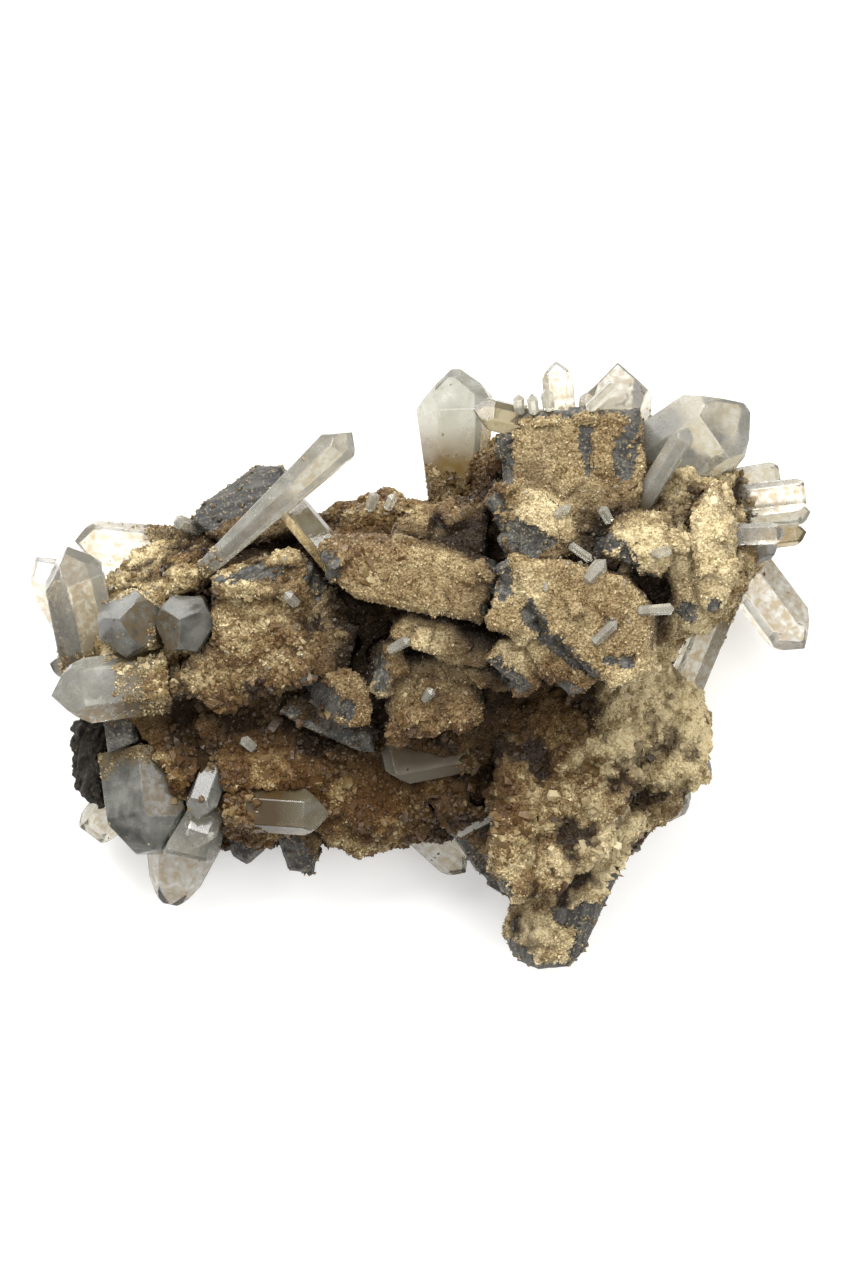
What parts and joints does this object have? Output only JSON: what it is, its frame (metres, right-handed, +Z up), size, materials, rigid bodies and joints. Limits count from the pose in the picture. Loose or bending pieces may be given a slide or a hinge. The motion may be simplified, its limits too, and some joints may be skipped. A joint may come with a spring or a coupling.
{
  "type": "epidote and quartz crystal cluster",
  "caption": "Natural crystal cluster: intergrown dark epidote tablets coated in brown druse, with clear quartz points around the rim.",
  "frame": {"origin": "centre of the cluster's bounding box, on the surface that it lies on", "axes": "+X along the cluster's length, +Y across it, +Z up from its flat resting spots towards the crystals shown"},
  "size_m": [0.0988, 0.0766, 0.0443],
  "materials": {
    "druse": "rough, finely crystalline, matte",
    "epidote": "semi-gloss crystal faces under a brown druse",
    "quartz": "clear to cloudy, glossy faces, iron-stained roots",
    "black_crust": "rough, fibrous, dull"
  },
  "bodies": {
    "root": {"druse_matrix": "druse", "epidote_centre_stack": "epidote", "epidote_right_spur": "epidote", "epidote_crown": "epidote", "epidote_finger_pair": "epidote", "epidote_long_blade": "epidote", "epidote_back_slab": "epidote", "epidote_lower_fan": "epidote", "epidote_dark_blades": "epidote", "epidote_left_table": "epidote", "epidote_rear_left": "epidote", "epidote_left_tab": "epidote", "epidote_foot_block": "epidote", "epidote_foot_edge": "epidote", "epidote_under_prism": "epidote", "epidote_under_bud": "epidote", "black_crust_lump": "black_crust", "quartz_long_point": "quartz", "quartz_strut": "quartz", "quartz_left_cloudy": "quartz", "quartz_eye_left": "quartz", "quartz_eye_right": "quartz", "quartz_left_upright": "quartz", "quartz_left_upper": "quartz", "quartz_far_left": "quartz", "quartz_left_bud": "quartz", "quartz_grey_block": "quartz", "quartz_grey_bud": "quartz", "quartz_lower_ledge": "quartz", "quartz_lower_bud": "quartz", "quartz_lower_tip": "quartz", "quartz_low_left": "quartz", "quartz_low_centre": "quartz", "quartz_grey_slab": "quartz", "quartz_foot_left": "quartz", "quartz_sceptre": "quartz", "quartz_stained_cap": "quartz", "quartz_top_small": "quartz", "quartz_top_white": "quartz", "quartz_big_right": "quartz", "quartz_big_right_prism": "quartz", "quartz_comb_top": "quartz", "quartz_comb_blunt": "quartz", "quartz_comb_middle": "quartz", "quartz_comb_clear": "quartz", "quartz_comb_low": "quartz", "quartz_comb_grey": "quartz", "quartz_right_arm": "quartz", "quartz_right_edge": "quartz", "quartz_right_spike": "quartz", "quartz_right_foot": "quartz"}
  },
  "joints": []
}
